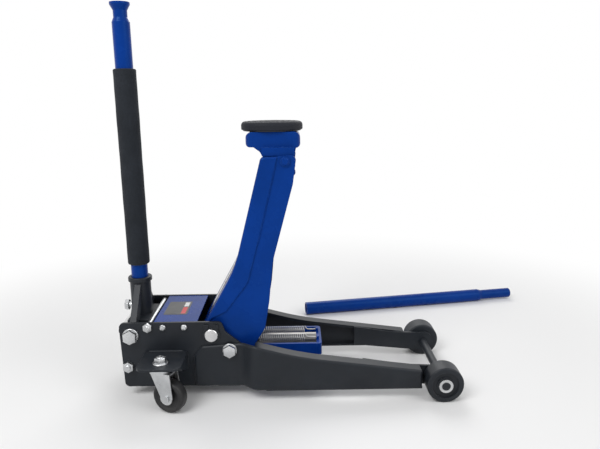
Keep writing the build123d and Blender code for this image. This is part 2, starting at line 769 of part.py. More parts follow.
with BuildPart() as arm_top_channel:
    with BuildSketch(arm_plane(arm_half)) as outline:
        Polygon(
            arm_rear,
            knee,
            arm_tip_top,
            (arm_len + 3, 17),
            (179, -15),
            (118, -24),
            (50, -8),
            (26, 12),
            (arm_rear[0], arm_rear[1] - 5),
            align=None,
        )
        round_corner(outline, knee, 250 - arm_top_t)
        round_corner(outline, arm_tip_top, 9)
        round_corner(outline, (118, -24), 40)
        round_corner(outline, (50, -8), 12)
        round_corner(outline, (26, 12), 6)
    extrude(amount=2 * arm_half)
    folds = []
    for edge in arm_top_channel.edges():
        local = arm_plane(0).to_local_coords(edge @ 0.5)
        top = max(knee[1] + (knee[0] - local.X) * fall, knee[1] + (local.X - knee[0]) * rise)
        on_side = abs(abs(local.Z) - arm_half) < 0.1
        if on_side and local.Y > top - 1 and -15 < local.X < arm_tip_top[0] - 12:
            folds.append(edge)
    fillet(folds, 5.5)
    with BuildSketch(arm_plane(arm_side_out)) as outline:
        Polygon(
            (arm_rear[0] - 24, arm_rear[1] - arm_top_t + 24 * fall),
            (knee[0], knee[1] - arm_top_t),
            (arm_tip_top[0] + 40, arm_tip_top[1] - arm_top_t + 40 * rise),
            (arm_tip_top[0] + 40, -80),
            (arm_rear[0] - 24, -80),
            align=None,
        )
        round_corner(outline, (knee[0], knee[1] - arm_top_t), 250)
    extrude(amount=2 * arm_side_out, mode=Mode.SUBTRACT)
    with BuildSketch(arm_plane(arm_half - arm_fold)) as outline:
        Polygon((arm_top_end, 0), (arm_top_end, 80), (arm_len + 40, 80), (arm_len + 40, 0), align=None)
    extrude(amount=2 * (arm_half - arm_fold), mode=Mode.SUBTRACT)
save(arm_top_channel, "arm_top_channel")

with BuildPart() as lug_pins:
    for side, s in sides:
        rod(lug_x, lug_z, lug_r, s * (rail_in - 2), s * (arm_side_out + 2))
save(lug_pins, "lug_pins")

with BuildPart() as saddle_hinge_pin:
    rod(end_x, end_z, end_pin_r, -arm_side_out - 5, arm_side_out + 5)
    for side, s in sides:
        rod(end_x, end_z, 9, s * arm_side_out, s * (arm_side_out + 3))
    chamfer(saddle_hinge_pin.edges().filter_by(GeomType.CIRCLE).group_by(Axis.Y)[0], 1)
    chamfer(saddle_hinge_pin.edges().filter_by(GeomType.CIRCLE).group_by(Axis.Y)[-1], 1)
save(saddle_hinge_pin, "saddle_hinge_pin")

# Leveling bars, their fixed anchors on the main pin, and the saddle bracket that they keep level
anchor_in = link_in + link_t + 1
anchor_out = arm_side_in - 2
with BuildPart() as link_anchors:
    for side, s in sides:
        with BuildSketch(side_plane(s * anchor_in)):
            with Locations((pin_x, pin_z)):
                Circle(pin_r + 2.5)
            with Locations((pin_x + link_v[0], pin_z + link_v[1])):
                Circle(link_eye_r)
            make_hull()
        extrude(amount=-s * (anchor_out - anchor_in))
        rod(pin_x, pin_z, pin_r, s * (anchor_in - 1), s * (anchor_out + 1), Mode.SUBTRACT)
        rod(pin_x + link_v[0], pin_z + link_v[1], link_pin_r, s * (link_in - 1), s * (anchor_in + 1))
save(link_anchors, "link_anchors")

with BuildPart() as leveling_bars:
    for side, s in sides:
        low = (pin_x + link_v[0], pin_z + link_v[1])
        high = (end_x + link_v[0], end_z + link_v[1])
        with BuildSketch(side_plane(s * link_in)):
            with Locations(low, high):
                Circle(link_eye_r)
            with Locations(Location(((low[0] + high[0]) / 2, (low[1] + high[1]) / 2), arm_up)):
                Rectangle(arm_len, 2 * link_half)
        extrude(amount=-s * link_t)
        for x, z in (low, high):
            rod(x, z, link_pin_r + running_fit, s * (link_in - 1), s * (link_in + link_t + 1), Mode.SUBTRACT)
save(leveling_bars, "leveling_bars")

with BuildPart() as saddle_bracket:
    with BuildSketch(side_plane(head_half)) as outline:
        with Locations((end_x, end_z)):
            Polygon(
                (head_rear, bracket_top),
                (head_front, bracket_top),
                (head_front, head_low),
                (20, head_low - 2),
                (17, 9),
                (-42, 9),
                (-46, 16),
                (-57, head_low),
                (head_rear, head_low),
                align=None,
            )
        round_corner(outline, (end_x + head_rear, end_z + head_low), 8)
        round_corner(outline, (end_x + head_rear, end_z + bracket_top), 12)
        round_corner(outline, (end_x + head_front, end_z + head_low), 8)
        round_corner(outline, (end_x + head_front, end_z + bracket_top), 12)
    extrude(amount=2 * head_half)
    with BuildSketch(Plane.XY.offset(end_z)):
        with Locations((end_x + (head_rear + head_front) / 2, 0)):
            RectangleRounded(head_front - head_rear, 2 * head_half, 14)
    extrude(amount=bracket_top, mode=Mode.INTERSECT)
    rod(end_x, end_z, 13, -head_half + 4, head_half - 4)
    block(end_x - 13, end_x + 13, -head_half + 4, head_half - 4, end_z, end_z + 12)
    for side, s in sides:
        with BuildSketch(side_plane(s * anchor_in)):
            with Locations((end_x, end_z)):
                Circle(13)
            with Locations((end_x + link_v[0], end_z + link_v[1])):
                Circle(link_eye_r)
            make_hull()
        extrude(amount=-s * (anchor_out - anchor_in))
        block(end_x - 42, end_x + 17, s * (head_half - 5), s * anchor_out, end_z + 9, end_z + head_low)
        block(end_x - 13, end_x + 13, s * anchor_in, s * anchor_out, end_z, end_z + 11)
        rod(end_x + link_v[0], end_z + link_v[1], link_pin_r, s * (link_in - 1), s * (anchor_in + 1))
    rod(end_x, end_z, end_pin_r + running_fit, -arm_half, arm_half, Mode.SUBTRACT)
    post(saddle_x, 0, stem_r + running_fit, end_z + bracket_top - stem_deep, end_z + bracket_top + 1, Mode.SUBTRACT)
save(saddle_bracket, "saddle_bracket")

# Saddle dish that turns in the bracket, under a thick ringed rubber pad that grips its rim
dish_z = end_z + bracket_top + face_gap
dish_r = saddle_r - 3
pad_lip = 3
with BuildPart() as saddle_dish:
    post(saddle_x, 0, dish_r, dish_z, dish_z + dish_t)
    fillet(saddle_dish.edges().group_by(Axis.Z)[0], 1.5)
    post(saddle_x, 0, stem_r, end_z + bracket_top - stem_deep + face_gap, dish_z + 1)
save(saddle_dish, "saddle_dish")

pad_z = dish_z + dish_t
with BuildPart() as saddle_pad:
    post(saddle_x, 0, saddle_r, pad_z - pad_lip, end_z + pad_top)
    fillet(saddle_pad.edges().group_by(Axis.Z)[-1], 7)
    fillet(saddle_pad.edges().group_by(Axis.Z)[0], 2)
    post(saddle_x, 0, dish_r + running_fit, pad_z - pad_lip - 1, pad_z, Mode.SUBTRACT)
    for ring in range(1, 5):
        middle = ring * dish_r / 5
        with BuildSketch(Plane.XY.offset(end_z + pad_top)):
            with Locations((saddle_x, 0)):
                Circle(middle + 1.6)
                Circle(middle - 1.6, mode=Mode.SUBTRACT)
        extrude(amount=-2.2, mode=Mode.SUBTRACT)
save(saddle_pad, "saddle_pad")

# Handle socket, a tube on a yoke that swings on two bolts and carries the pump roller
base_front = upper_tie[0] - upper_tie_r - face_gap
base_top = base_z + base_t
with BuildPart() as handle_socket:
    post(socket_x, 0, socket_r, base_top - 1, socket_top)
    post(socket_x, 0, socket_r + 3, socket_top - 8, socket_top)
    fillet(handle_socket.edges().group_by(Axis.Z)[-1], 2)
    block(socket_pivot_x - 14, base_front, -lug_plate_out, lug_plate_out, base_z, base_top)
    for side, s in sides:
        with BuildSketch(side_plane(s * lug_plate_in)):
            with Locations((socket_pivot_x, socket_pivot_z)):
                Circle(14)
            with Locations((roller_x, roller_z)):
                Circle(12)
            make_hull()
        extrude(amount=-s * (lug_plate_out - lug_plate_in))
        block(socket_pivot_x - 14, socket_pivot_x + 13, s * lug_plate_in, s * lug_plate_out, socket_pivot_z, base_top)
        rod(socket_pivot_x, socket_pivot_z, 13, s * (lug_plate_out - 1), s * (plate_in - 1.5))
        with BuildSketch(Plane.YZ.offset(socket_x - 6)):
            Polygon(
                (s * 15, socket_top - 10),
                (s * 20, socket_top - 10),
                (s * (plate_in - 1.5), base_z + 12),
                (s * (plate_in - 1.5), base_z - 6),
                (s * (plate_in - 14), base_z - 6),
                (s * 15, socket_top - 34),
                align=None,
            )
        extrude(amount=12)
        bolt_end = s * (plate_in + 1)
        rod(socket_pivot_x, socket_pivot_z, pivot_bolt_r + running_fit, s * 30, bolt_end, Mode.SUBTRACT)
    rod(roller_x, roller_z, 5, -60, 60, Mode.SUBTRACT)
    post(socket_x, 0, socket_bore, base_top, socket_top + 1, Mode.SUBTRACT)
    post(socket_x, 0, 4 + running_fit, base_z - 1, base_top + 1, Mode.SUBTRACT)
    bar_x(0, base_top + 16, 6, socket_x - socket_r - 5, socket_x, Mode.SUBTRACT)
save(handle_socket, "handle_socket")

with BuildPart() as roller_pin:
    rod(roller_x, roller_z, 5, -lug_plate_out - 6, lug_plate_out + 6)
    for side, s in sides:
        rod(roller_x, roller_z, 7.5, s * lug_plate_out, s * (lug_plate_out + 3))
save(roller_pin, "roller_pin")

with BuildPart() as pump_roller:
    rod(roller_x, roller_z, roller_r, -roller_half, roller_half)
    for edge_y in (-12, 12):
        with BuildSketch(side_plane(edge_y + 0.5)):
            with Locations((roller_x, roller_z)):
                Circle(roller_r + 1)
                Circle(roller_r - 0.8, mode=Mode.SUBTRACT)
        extrude(amount=1, mode=Mode.SUBTRACT)
    rod(roller_x, roller_z, 5 + running_fit, -roller_half - 1, roller_half + 1, Mode.SUBTRACT)
save(pump_roller, "pump_roller")

with BuildPart() as socket_pivot_bolts:
    for side, s in sides:
        rod(socket_pivot_x, socket_pivot_z, pivot_bolt_r, s * (lug_plate_in + 0.5), s * (plate_out + 3))
        rod(socket_pivot_x, socket_pivot_z, pivot_washer_r, s * plate_out, s * (plate_out + 2.5))
        hex_across(socket_pivot_x, socket_pivot_z, pivot_head, s * (plate_out + 2.5), s * (plate_out + 12))
save(socket_pivot_bolts, "socket_pivot_bolts")

with BuildPart() as handle_clamp_bolt:
    clamp_x = socket_x - socket_r
    bar_x(0, base_top + 16, 6, clamp_x - 9, socket_x - socket_bore - face_gap)
    with BuildSketch(Plane.YZ.offset(clamp_x - 5)):
        with Locations((0, base_top + 16)):
            RegularPolygon(9.5, 6, major_radius=False)
    extrude(amount=-8)
save(handle_clamp_bolt, "handle_clamp_bolt")

# Release coupler at the bottom of the socket, which the handle turns
with BuildPart() as release_coupler:
    post(socket_x, 0, socket_bore - face_gap, base_top + face_gap, handle_z - face_gap)
    block(socket_x - 2.7, socket_x + 2.7, -12, 12, handle_z - 1, handle_z + 9)
    post(socket_x, 0, 4, base_z - 6, base_top + 1)
save(release_coupler, "release_coupler")

# Upper handle with its foam grip, standing in the socket
with BuildPart() as handle_tube:
    with BuildSketch(Plane.XZ):
        with Locations((socket_x, handle_z)):
            Polygon(
                (13, 0),
                (tube_r, 0),
                (tube_r, handle_len - 34),
                (tube_r - 3.5, handle_len - 26),
                (tube_r - 3.5, handle_len - 14),
                (tube_r + 2, handle_len - 4),
                (tube_r + 2, handle_len),
                (9, handle_len),
                (9, handle_len - 40),
                (13, handle_len - 48),
                align=None,
            )
    revolve(axis=Axis((socket_x, 0, 0), (0, 0, 1)))
    block(socket_x - 3, socket_x + 3, -20, 20, handle_z - 1, handle_z + 10, Mode.SUBTRACT)
save(handle_tube, "handle_tube")

with BuildPart() as foam_grip:
    post(socket_x, 0, grip_r, handle_z + grip_start, handle_z + grip_start + grip_len)
    fillet(foam_grip.edges(), 3)
    post(socket_x, 0, tube_r, handle_z + grip_start - 1, handle_z + grip_start + grip_len + 1, Mode.SUBTRACT)
save(foam_grip, "foam_grip")

# Extension tube with its swaged spigot, loose on the floor beside the jack
tube_dir = Vector(cos(radians(extension_turn)), sin(radians(extension_turn)), 0)
tube_start = Vector(extension_at[0], extension_at[1], tube_r)
with BuildPart() as handle_extension:
    with BuildSketch(Plane(tube_start, x_dir=tube_dir, z_dir=tube_dir.cross(Vector(0, 0, 1)))):
        Polygon(
            (0, 13),
            (0, tube_r),
            (extension_len - spigot_len - 10, tube_r),
            (extension_len - spigot_len, spigot_r),
            (extension_len - 2, spigot_r),
            (extension_len, spigot_r - 1.5),
            (extension_len, 10),
            (extension_len - spigot_len - 4, 10),
            (extension_len - spigot_len - 14, 13),
            align=None,
        )
    revolve(axis=Axis(tube_start, tube_dir))
save(handle_extension, "handle_extension")

lift = radians(arm_up - arm_down)
travel = 2 * (lug_x - pin_x)
print(f"arm end raised {end_x:.2f} {end_z:.2f}, yoke travel {travel:.2f} mm in {lift:.4f} rad")
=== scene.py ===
from math import cos, pi, radians, sin, sqrt, tan

import bmesh
import bpy
from mathutils import Matrix, Vector


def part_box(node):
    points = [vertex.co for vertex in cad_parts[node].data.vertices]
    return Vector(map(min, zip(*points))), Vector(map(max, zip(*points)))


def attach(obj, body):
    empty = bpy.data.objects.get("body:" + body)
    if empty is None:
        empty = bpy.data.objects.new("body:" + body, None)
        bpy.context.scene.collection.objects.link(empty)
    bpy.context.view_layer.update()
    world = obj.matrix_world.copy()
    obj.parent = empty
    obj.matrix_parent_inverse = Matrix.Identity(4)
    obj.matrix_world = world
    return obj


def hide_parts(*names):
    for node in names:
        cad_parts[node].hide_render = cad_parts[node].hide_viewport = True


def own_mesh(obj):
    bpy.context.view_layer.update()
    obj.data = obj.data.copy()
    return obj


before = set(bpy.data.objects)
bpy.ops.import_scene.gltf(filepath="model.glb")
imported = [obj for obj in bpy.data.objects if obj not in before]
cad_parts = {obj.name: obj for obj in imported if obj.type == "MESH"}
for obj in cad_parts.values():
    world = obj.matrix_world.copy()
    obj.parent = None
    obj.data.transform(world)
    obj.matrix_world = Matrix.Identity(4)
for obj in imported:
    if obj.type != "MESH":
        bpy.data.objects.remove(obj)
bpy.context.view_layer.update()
mm = 0.001

# Side plates.
# Two flat plates of 5 mm steel at the rear, blanked and drilled, that carry every pivot.
# They are sprayed satin black, with a fine orange peel and thinner paint along the cut edges.


def put(tree, kind, inputs, **settings):
    """Adds a shader node. An input that is another node's socket is linked, any other value is set."""
    made = tree.nodes.new("ShaderNode" + kind)
    for name, value in settings.items():
        setattr(made, name, value)
    for name, value in inputs.items():
        if isinstance(value, bpy.types.NodeSocket):
            tree.links.new(value, made.inputs[name])
        else:
            made.inputs[name].default_value = value
    return made


def own_space(tree):
    """Place on the object, in its own space."""
    return put(tree, "TexCoord", {}).outputs["Object"]


def noise(tree, place, scale, detail, roughness=0.5):
    """Noise over a surface, about 0.5 in the middle."""
    inputs = {"Vector": place, "Scale": scale, "Detail": detail, "Roughness": roughness}
    return put(tree, "TexNoise", inputs).outputs[0]


def ramp(tree, value, start, end, low=0.0, high=1.0):
    """Takes a value that goes from start to end to a range of its own."""
    return put(tree, "MapRange", {0: value, 1: start, 2: end, 3: low, 4: high}).outputs[0]


def spread(tree, value, low, high):
    """Takes a noise value to a range of its own."""
    return ramp(tree, value, 0.3, 0.7, low, high)


def combine(tree, operation, first, second):
    """A sum, product or greater of two values."""
    return put(tree, "Math", {0: first, 1: second}, operation=operation).outputs[0]


def mixed(tree, share, first, second):
    """Colour between two, by a share of the second."""
    return put(tree, "Mix", {0: share, 6: first, 7: second}, data_type="RGBA").outputs[2]


def effect(name, inputs, outputs):
    """Starts a shader node group with named float inputs and named outputs."""
    tree = bpy.data.node_groups.new(name, "ShaderNodeTree")
    for label in inputs:
        tree.interface.new_socket(name=label, in_out="INPUT", socket_type="NodeSocketFloat")
    for label, kind in outputs:
        tree.interface.new_socket(name=label, in_out="OUTPUT", socket_type="NodeSocket" + kind)
    return tree, tree.nodes.new("NodeGroupInput").outputs, tree.nodes.new("NodeGroupOutput").inputs


def use(tree, group, inputs):
    """Places a shared effect in a material."""
    made = tree.nodes.new("ShaderNodeGroup")
    made.node_tree = group
    for name, value in inputs.items():
        made.inputs[name].default_value = value
    return made.outputs


# Rounded, slightly rubbed edges
worn_edges, given, result = effect("worn_edges", ["Radius"], [("Normal", "Vector"), ("Wear", "Float")])
rounded = put(worn_edges, "Bevel", {"Radius": given["Radius"]}, samples=6).outputs[0]
flat = put(worn_edges, "NewGeometry", {}).outputs["Normal"]
agree = put(worn_edges, "VectorMath", {0: rounded, 1: flat}, operation="DOT_PRODUCT").outputs["Value"]
turned = ramp(worn_edges, agree, 0.985, 0.78)
patchy = ramp(worn_edges, noise(worn_edges, own_space(worn_edges), 70.0, 4.0), 0.45, 0.68)
worn_edges.links.new(rounded, result["Normal"])
worn_edges.links.new(combine(worn_edges, "MULTIPLY", turned, patchy), result["Wear"])

# Orange peel of a sprayed coat, and the slow mottle under it
skin_outputs = [("Peel", "Float"), ("Mottle", "Float")]
paint_skin, given, result = effect("paint_skin", ["Peel scale"], skin_outputs)
place = own_space(paint_skin)
paint_skin.links.new(noise(paint_skin, place, given["Peel scale"], 2.0), result["Peel"])
paint_skin.links.new(noise(paint_skin, place, 9.0, 5.0, 0.6), result["Mottle"])

# Workshop dust that settles on level faces and low down
shop_dust, given, result = effect("shop_dust", ["Amount"], [("Dust", "Float")])
place = own_space(shop_dust)
faces = put(shop_dust, "NewGeometry", {}).outputs["Normal"]
up = put(shop_dust, "SeparateXYZ", {0: faces}).outputs["Z"]
height = put(shop_dust, "SeparateXYZ", {0: place}).outputs["Z"]
level = ramp(shop_dust, up, 0.55, 1.0, 0.0, 0.7)
near_floor = ramp(shop_dust, height, 0.07, 0.0, 0.0, 0.6)
settled = combine(shop_dust, "MAXIMUM", level, near_floor)
broken = ramp(shop_dust, noise(shop_dust, place, 38.0, 8.0, 0.7), 0.42, 0.75)
lying = combine(shop_dust, "MULTIPLY", settled, broken)
shop_dust.links.new(combine(shop_dust, "MULTIPLY", lying, given["Amount"]), result["Dust"])


def new_finish(name):
    """Starts a material, and gives it with its node tree and its shader."""
    finish = bpy.data.materials.new(name)
    finish.use_nodes = True
    return finish, finish.node_tree, finish.node_tree.nodes["Principled BSDF"]


def surface(tree, shader, colour, rough, height, bump_by, depth, normal=None):
    """Links a shader's colour and roughness, and a bump over its normal."""
    inputs = {"Height": height, "Strength": bump_by, "Distance": depth}
    if normal:
        inputs["Normal"] = normal
    tree.links.new(colour, shader.inputs["Base Color"])
    tree.links.new(rough, shader.inputs["Roughness"])
    tree.links.new(put(tree, "Bump", inputs).outputs[0], shader.inputs["Normal"])


paint_dust = (0.22, 0.21, 0.19, 1)


def sprayed(name, colour, shade, bare, rough, shine, tint, peel_scale, edge, dust):
    """Sprayed paint on steel."""
    finish, tree, shader = new_finish(name)
    edges = use(tree, worn_edges, {"Radius": edge})
    skin = use(tree, paint_skin, {"Peel scale": peel_scale})
    dirt = use(tree, shop_dust, {"Amount": dust})
    body = mixed(tree, spread(tree, skin["Mottle"], 0.0, 1.0), shade, colour)
    thin = mixed(tree, edges["Wear"], body, bare)
    top = mixed(tree, dirt["Dust"], thin, paint_dust)
    matt = combine(tree, "ADD", spread(tree, skin["Mottle"], *rough), dirt["Dust"])
    surface(tree, shader, top, matt, skin["Peel"], 0.06, 0.6 * mm, edges["Normal"])
    shader.inputs["Specular IOR Level"].default_value = shine
    shader.inputs["Specular Tint"].default_value = tint
    return finish


def dress(finish, *names):
    """Gives a finish to solids that keep their shape."""
    for name in names:
        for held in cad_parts[name].material_slots:
            held.material = finish


black_coat = sprayed(
    "black_coat", colour=(0.016, 0.020, 0.026, 1), shade=(0.010, 0.012, 0.016, 1),
    bare=(0.10, 0.10, 0.11, 1), rough=(0.34, 0.46), shine=0.26, tint=(1, 1, 1, 1),
    peel_scale=420.0, edge=1.0 * mm, dust=0.10)
dress(black_coat, "side_plate_left", "side_plate_right")

# Side rails and caster brackets.
# Pressings of the same black steel, welded to the plates: the rails step outward and slope down
# to the axle lugs, the brackets stand out as wings over the casters. Rippled beads join them.
dress(black_coat, "side_rail_left", "side_rail_right", "caster_bracket_left", "caster_bracket_right")


def lathe(bm, outline, at, axis, steps=40):
    """Turns a closed outline of (radius, height) points about an axis."""
    along = Vector(axis).normalized()
    out = along.orthogonal().normalized()
    corners = [bm.verts.new(Vector(at) + out * r + along * h) for r, h in outline]
    edges = []
    for i, (r, h) in enumerate(outline):
        if r > 1e-7 or outline[i - 1][0] > 1e-7:
            edges.append(bm.edges.new((corners[i - 1], corners[i])))
    bmesh.ops.spin(bm, geom=corners + edges, cent=at, axis=along, angle=2 * pi, steps=steps,
                   use_merge=True)


def show(name, mesh, body):
    """Sets a mesh in the scene, riding on a body."""
    made = bpy.data.objects.new(name, mesh)
    bpy.context.collection.objects.link(made)
    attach(made, body)
    return made


def piece(name, bm, body, slot, *finishes, sharp=35):
    """Closes a mesh, gives it its finishes and sets it riding on a body."""
    bmesh.ops.remove_doubles(bm, verts=bm.verts, dist=2e-6)
    bmesh.ops.dissolve_degenerate(bm, edges=bm.edges, dist=1e-7)
    bmesh.ops.recalc_face_normals(bm, faces=bm.faces)
    mesh = bpy.data.meshes.new(name)
    bm.to_mesh(mesh)
    bm.free()
    for finish in finishes:
        mesh.materials.append(finish)
    mesh.shade_smooth()
    mesh.set_sharp_from_angle(angle=radians(sharp))
    return show(name, mesh, body)


def weld(bm, start, end, size):
    """Lays a rippled bead along a straight seam."""
    run = Vector(end) - Vector(start)
    ripples = int(run.length / (2.6 * mm))
    outline = [(0, 0)]
    for i in range(ripples):
        for share, swell in ((0.1, 0.84), (0.5, 1.0), (0.9, 0.86)):
            taper = min(1.0, 0.55 + 0.25 * (i + share), 0.55 + 0.25 * (ripples - i - share))
            outline.append((size * swell * taper, run.length * (i + share) / ripples))
    outline.append((0, run.length))
    lathe(bm, outline, start, run, 10)


def beside(s, place, out):
    """The point at a place (x, z) of the side view, so far out on the left (1) or right (-1)."""
    return place[0], s * out, place[1]


seam_out = 0.0795
plate_seams = (
    ((-0.556, 0.0925), (-0.490, 0.0925), 2.6 * mm),
    ((-0.5635, 0.060), (-0.5635, 0.088), 2.2 * mm),
    ((-0.4825, 0.060), (-0.4825, 0.088), 2.2 * mm),
    ((-0.4705, 0.028), (-0.4705, 0.054), 2.4 * mm),
    ((-0.4705, 0.064), (-0.4705, 0.082), 2.4 * mm),
    ((-0.380, 0.0215), (-0.430, 0.0215), 2.0 * mm),
)
seams = bmesh.new()
for s in (1, -1):
    for start, end, size in plate_seams:
        weld(seams, beside(s, start, seam_out), beside(s, end, seam_out), size)
piece("frame_welds", seams, "frame", "black_paint", black_coat)

# Front axle and wheels.
# A plain black bar through the rail lugs, and cast wheels with a dished face that turn on it.
# A bright ring clips over each end of the bar and keeps its wheel on.
oily_dust = (0.16, 0.14, 0.12, 1)
rubbed_metal = (0.80, 0.80, 0.79, 1)


def metal(name, colour, shade, rough, grain, stretch, edge, bump_by, dust=0.12):
    """Bare or plated metal, with a drawn or spangled grain."""
    finish, tree, shader = new_finish(name)
    edges = use(tree, worn_edges, {"Radius": edge})
    dirt = use(tree, shop_dust, {"Amount": dust})
    place = own_space(tree)
    drawn = put(tree, "Mapping", {"Vector": place, "Scale": stretch}).outputs[0]
    fine = noise(tree, drawn, grain, 6.0, 0.6)
    cloud = noise(tree, place, 26.0, 4.0)
    body = mixed(tree, spread(tree, cloud, 0.0, 1.0), shade, colour)
    bright = mixed(tree, edges["Wear"], body, rubbed_metal)
    top = mixed(tree, dirt["Dust"], bright, oily_dust)
    surface(tree, shader, top, spread(tree, fine, *rough), fine, bump_by, 0.4 * mm, edges["Normal"])
    shader.inputs["Metallic"].default_value = 1.0
    return finish


zinc_plate = metal(
    "zinc_plate", colour=(0.64, 0.65, 0.66, 1), shade=(0.44, 0.45, 0.46, 1), rough=(0.24, 0.40),
    grain=180.0, stretch=(1, 1, 1), edge=0.5 * mm, bump_by=0.08)
dress(black_coat, "front_axle", "front_wheel_left", "front_wheel_right")
dress(zinc_plate, "axle_retainers")

# Main pivot pin.
# A ground steel pin through both plates and the arm, held at each end by a sprung clip.
# The fixed ears of the leveling bars sit on it between the plates.
ground_steel = metal(
    "ground_steel", colour=(0.66, 0.66, 0.66, 1), shade=(0.50, 0.50, 0.51, 1), rough=(0.16, 0.30),
    grain=300.0, stretch=(1, 0.05, 1), edge=0.6 * mm, bump_by=0.05)
dress(ground_steel, "main_pivot_pin")
dress(black_coat, "pivot_pin_clips", "link_anchors")

# Bolts, studs and tie rods.
# Zinc-plated hexagon bolts and nuts on washers, and the two round rods that tie the plates.
# The nuts are drawn with chamfered corners, and the threads show where a rod stands proud.


def hexagon(bm, at, axis, flats, depth, chamfer):
    """A hexagon head or nut that starts at a point, chamfered on its outer end."""
    along = Vector(axis).normalized()
    turn = along.to_track_quat("Z", "Y").to_matrix().to_4x4()
    middle = Matrix.Translation(Vector(at) + along * depth / 2) @ turn
    corner = flats / sqrt(3)
    made = bmesh.ops.create_cone(bm, cap_ends=True, segments=6, radius1=corner, radius2=corner,
                                 depth=depth, matrix=middle)
    outer = [v for v in made["verts"] if (v.co - Vector(at)).dot(along) > depth / 2]
    rim = [e for e in bm.edges if e.verts[0] in outer and e.verts[1] in outer]
    bmesh.ops.bevel(bm, geom=rim, offset=chamfer, segments=2, profile=0.5, affect="EDGES", material=-1)


def washer(bm, at, axis, radius, hole, depth):
    """A plain washer with its edges broken."""
    soft = 0.3 * depth
    outline = [(hole, 0), (radius, 0), (radius, depth - soft), (radius - soft, depth), (hole, depth)]
    lathe(bm, outline, at, axis)


def thread(bm, at, axis, radius, run, pitch):
    """The threaded end of a rod, with a chamfered tip."""
    turns = int(run / pitch)
    outline = [(0, 0)]
    for i in range(turns):
        outline += [(radius - 0.45 * pitch, pitch * i), (radius, pitch * (i + 0.5))]
    outline += [(radius - 0.45 * pitch, pitch * turns), (radius - pitch, run), (0, run)]
    lathe(bm, outline, at, axis, 28)


def in_mm(outline):
    """An outline given in millimetres."""
    return [(r * mm, h * mm) for r, h in outline]


plate_out = 0.079
rail_out = 0.084
rail_bolt = (-0.402, 0.095)
socket_bolt = (-0.588, 0.1244)
lower_tie = (-0.596, 0.0624)
upper_tie = (-0.555, 0.141)
cover_screws = ((-0.527, 0.140), (-0.487, 0.140))
caster_x, caster_y = -0.523, 0.1275
bracket_top = 0.092
stud_foot = 0.0717
screw_dome = in_mm([(0, 0), (6, 0), (5.8, 1.2), (4.6, 2.7), (3, 3.2), (0, 3.2)])
stud_outline = in_mm([(0, 0), (10, 0), (10, 4), (6, 4), (6, 21), (0, 21)])
upward = (0, 0, 1)
fasteners = bmesh.new()
studs = bmesh.new()
for s in (1, -1):
    out = (0, s, 0)
    washer(fasteners, beside(s, rail_bolt, rail_out), out, 13.5 * mm, 7 * mm, 2 * mm)
    hexagon(fasteners, beside(s, rail_bolt, rail_out + 2 * mm), out, 22 * mm, 8 * mm, 1.6 * mm)
    washer(fasteners, beside(s, socket_bolt, plate_out), out, 15 * mm, 7 * mm, 2.5 * mm)
    hexagon(fasteners, beside(s, socket_bolt, plate_out + 2.5 * mm), out, 24 * mm, 9.5 * mm, 1.8 * mm)
    hexagon(fasteners, beside(s, lower_tie, plate_out), out, 19 * mm, 7 * mm, 1.4 * mm)
    thread(fasteners, beside(s, lower_tie, plate_out + 6.5 * mm), out, 6 * mm, 3.0 * mm, 1.25 * mm)
    hexagon(fasteners, beside(s, upper_tie, plate_out), out, 16 * mm, 5.5 * mm, 1.2 * mm)
    thread(fasteners, beside(s, upper_tie, plate_out + 5 * mm), out, 5 * mm, 2.5 * mm, 1.0 * mm)
    for screw in cover_screws:
        lathe(fasteners, screw_dome, beside(s, screw, plate_out), out, 28)
        hexagon(fasteners, beside(s, screw, plate_out + 3 * mm), out, 8 * mm, 2 * mm, 0.6 * mm)
    stud = (caster_x, s * caster_y)
    washer(studs, (*stud, bracket_top), upward, 14 * mm, 6 * mm, 2 * mm)
    hexagon(studs, (*stud, bracket_top + 2 * mm), upward, 19 * mm, 9 * mm, 1.4 * mm)
    thread(studs, (*stud, bracket_top + 10.5 * mm), upward, 6 * mm, 2.5 * mm, 1.25 * mm)
    lathe(studs, stud_outline, (*stud, stud_foot), upward, 32)
bolts = piece("hexagon_bolts", fasteners, "frame", "zinc", zinc_plate, sharp=28)
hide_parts("rail_bolts", "socket_pivot_bolts", "tie_rod_nuts", "cover_screws")
caster_nuts = piece("caster_nuts", studs, "frame", "zinc", zinc_plate, sharp=28)
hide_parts("caster_studs")
dress(zinc_plate, "lower_tie_rod", "upper_tie_rod")

# Casters.
# Each fork is pressed from bright-plated plate and swivels on its stud under the bracket.
# The wheel is one black moulding with a crowned tread and a dished web, on a riveted axle.
dress(zinc_plate, "caster_fork_left", "caster_fork_right", "caster_axle_left", "caster_axle_right")
floor_dust = (0.20, 0.19, 0.17, 1)


def moulded(name, colour, shade, rough, shine, scale, bump_by, edge, dust):
    """Rubber or plastic moulding with a fine matt skin."""
    finish, tree, shader = new_finish(name)
    edges = use(tree, worn_edges, {"Radius": edge})
    dirt = use(tree, shop_dust, {"Amount": dust})
    place = own_space(tree)
    skin = noise(tree, place, scale, 5.0)
    cloud = noise(tree, place, 18.0, 4.0)
    body = mixed(tree, spread(tree, cloud, 0.0, 1.0), shade, colour)
    top = mixed(tree, dirt["Dust"], body, floor_dust)
    surface(tree, shader, top, spread(tree, cloud, *rough), skin, bump_by, 0.5 * mm, edges["Normal"])
    shader.inputs["Specular IOR Level"].default_value = shine
    return finish


